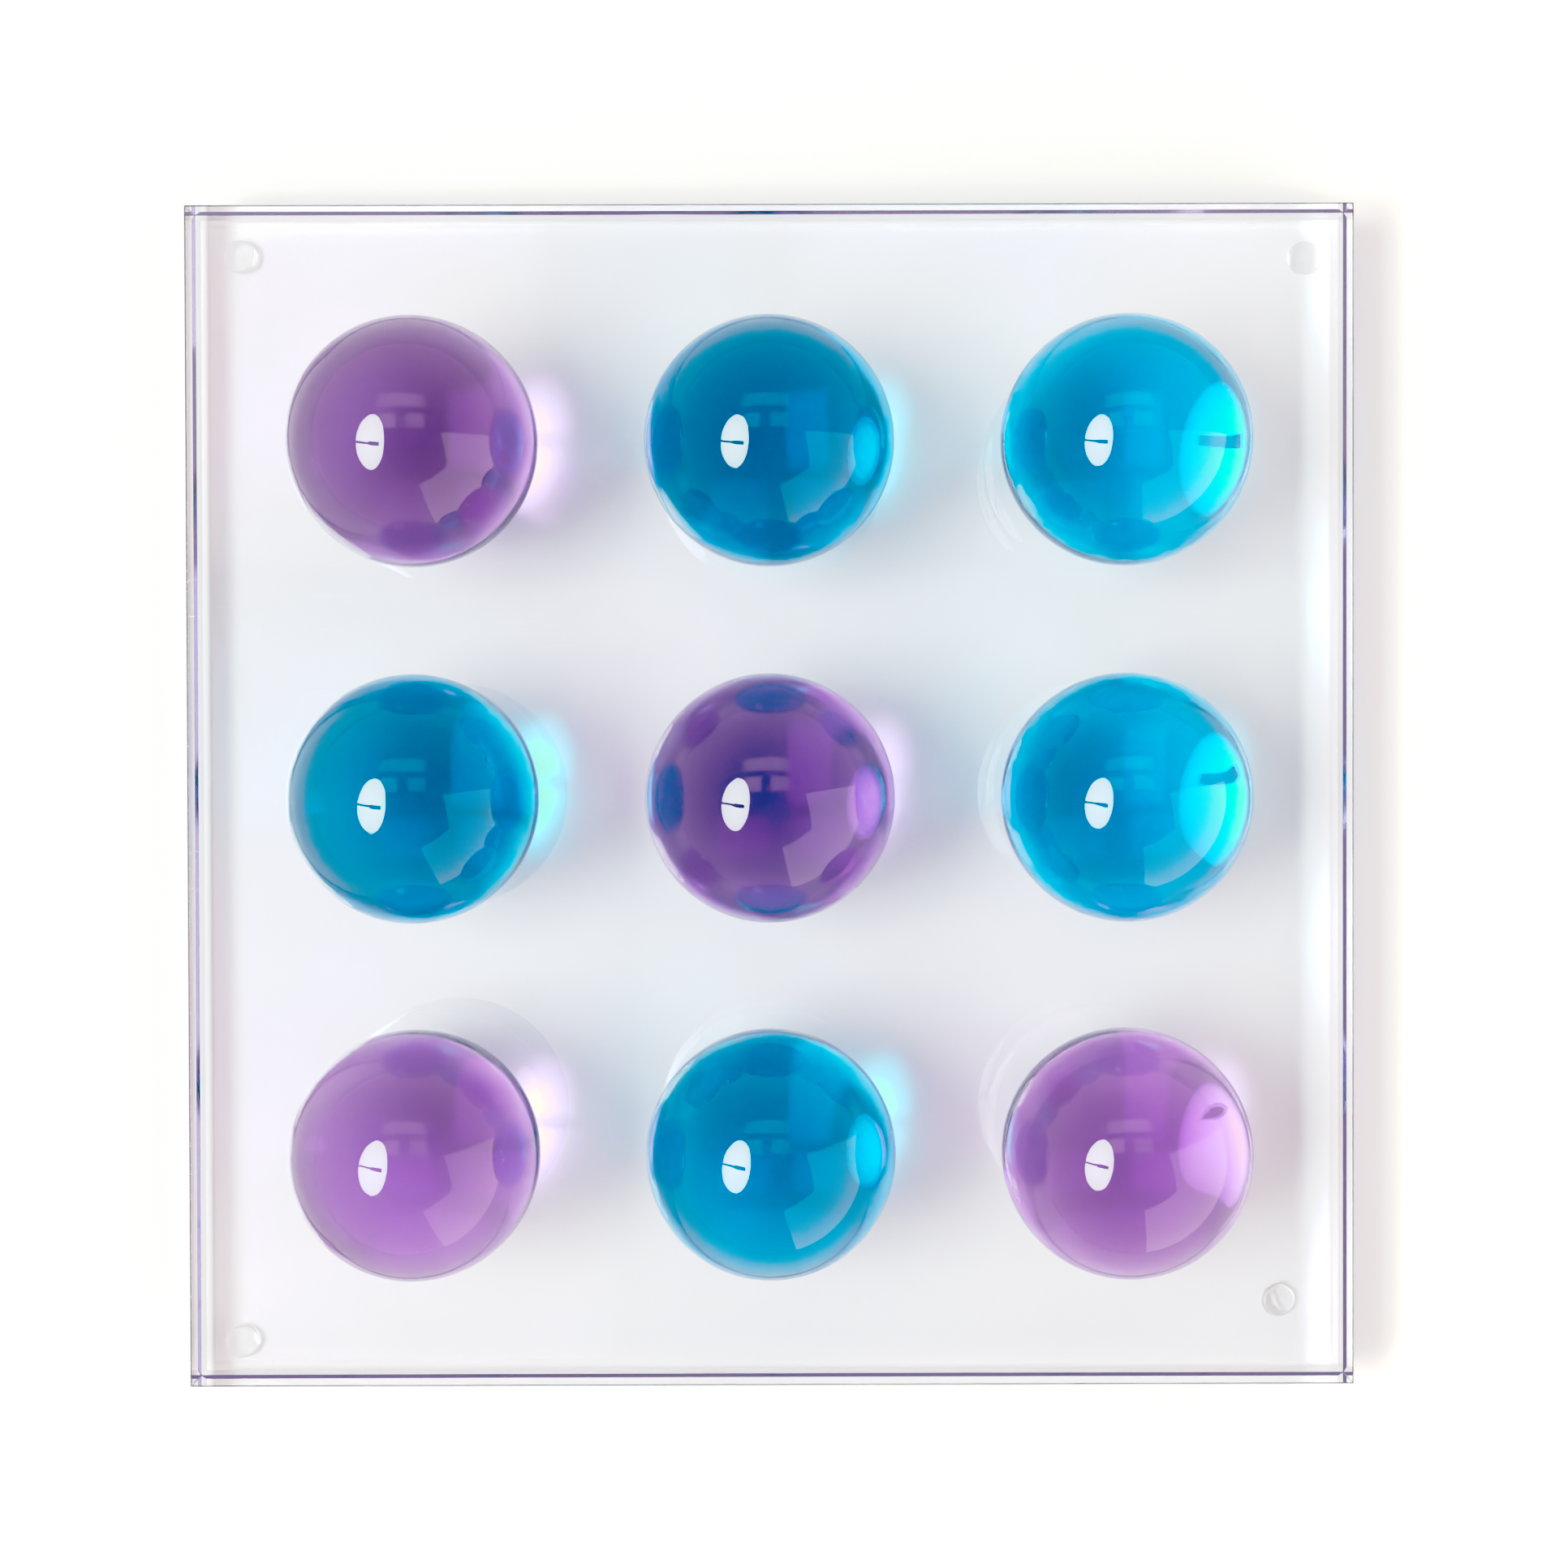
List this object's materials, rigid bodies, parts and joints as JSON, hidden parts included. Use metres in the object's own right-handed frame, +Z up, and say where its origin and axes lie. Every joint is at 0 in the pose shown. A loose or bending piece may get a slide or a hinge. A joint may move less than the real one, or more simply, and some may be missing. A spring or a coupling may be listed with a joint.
{
  "type": "marble noughts-and-crosses board",
  "caption": "Clear acrylic game board on small stick-on feet, with round dimples in a square grid that each hold a large solid ball in tinted see-through acrylic.",
  "frame": {"origin": "on the table under the middle of the board, at the height of the feet's flats", "axes": "+X right, +Y towards the back row, +Z up"},
  "size_m": [0.31, 0.314, 0.08],
  "materials": {
    "clear_acrylic": "polished",
    "violet_acrylic": "polished",
    "blue_acrylic": "polished",
    "clear_urethane": "gloss",
    "clear_adhesive": "satin"
  },
  "bodies": {
    "board": {"board": "clear_acrylic", "foot_back_left": "clear_urethane", "foot_back_right": "clear_urethane", "foot_front_left": "clear_urethane", "foot_front_right": "clear_urethane", "adhesive_back_left": "clear_adhesive", "adhesive_back_right": "clear_adhesive", "adhesive_front_left": "clear_adhesive", "adhesive_front_right": "clear_adhesive"},
    "ball_back_left": {"violet_ball_back_left": "violet_acrylic"},
    "ball_back_centre": {"blue_ball_back_centre": "blue_acrylic"},
    "ball_back_right": {"blue_ball_back_right": "blue_acrylic"},
    "ball_middle_left": {"blue_ball_middle_left": "blue_acrylic"},
    "ball_middle_centre": {"violet_ball_middle_centre": "violet_acrylic"},
    "ball_middle_right": {"blue_ball_middle_right": "blue_acrylic"},
    "ball_front_left": {"violet_ball_front_left": "violet_acrylic"},
    "ball_front_centre": {"blue_ball_front_centre": "blue_acrylic"},
    "ball_front_right": {"violet_ball_front_right": "violet_acrylic"}
  },
  "joints": [
    {"name": "lift_back_left", "type": "slide", "parent": "board", "child": "ball_back_left", "axis": [0, 0, 1], "range_m": [0, 0.08]},
    {"name": "lift_back_centre", "type": "slide", "parent": "board", "child": "ball_back_centre", "axis": [0, 0, 1], "range_m": [0, 0.08]},
    {"name": "lift_back_right", "type": "slide", "parent": "board", "child": "ball_back_right", "axis": [0, 0, 1], "range_m": [0, 0.08]},
    {"name": "lift_middle_left", "type": "slide", "parent": "board", "child": "ball_middle_left", "axis": [0, 0, 1], "range_m": [0, 0.08]},
    {"name": "lift_middle_centre", "type": "slide", "parent": "board", "child": "ball_middle_centre", "axis": [0, 0, 1], "range_m": [0, 0.08]},
    {"name": "lift_middle_right", "type": "slide", "parent": "board", "child": "ball_middle_right", "axis": [0, 0, 1], "range_m": [0, 0.08]},
    {"name": "lift_front_left", "type": "slide", "parent": "board", "child": "ball_front_left", "axis": [0, 0, 1], "range_m": [0, 0.08]},
    {"name": "lift_front_centre", "type": "slide", "parent": "board", "child": "ball_front_centre", "axis": [0, 0, 1], "range_m": [0, 0.08]},
    {"name": "lift_front_right", "type": "slide", "parent": "board", "child": "ball_front_right", "axis": [0, 0, 1], "range_m": [0, 0.08]}
  ]
}
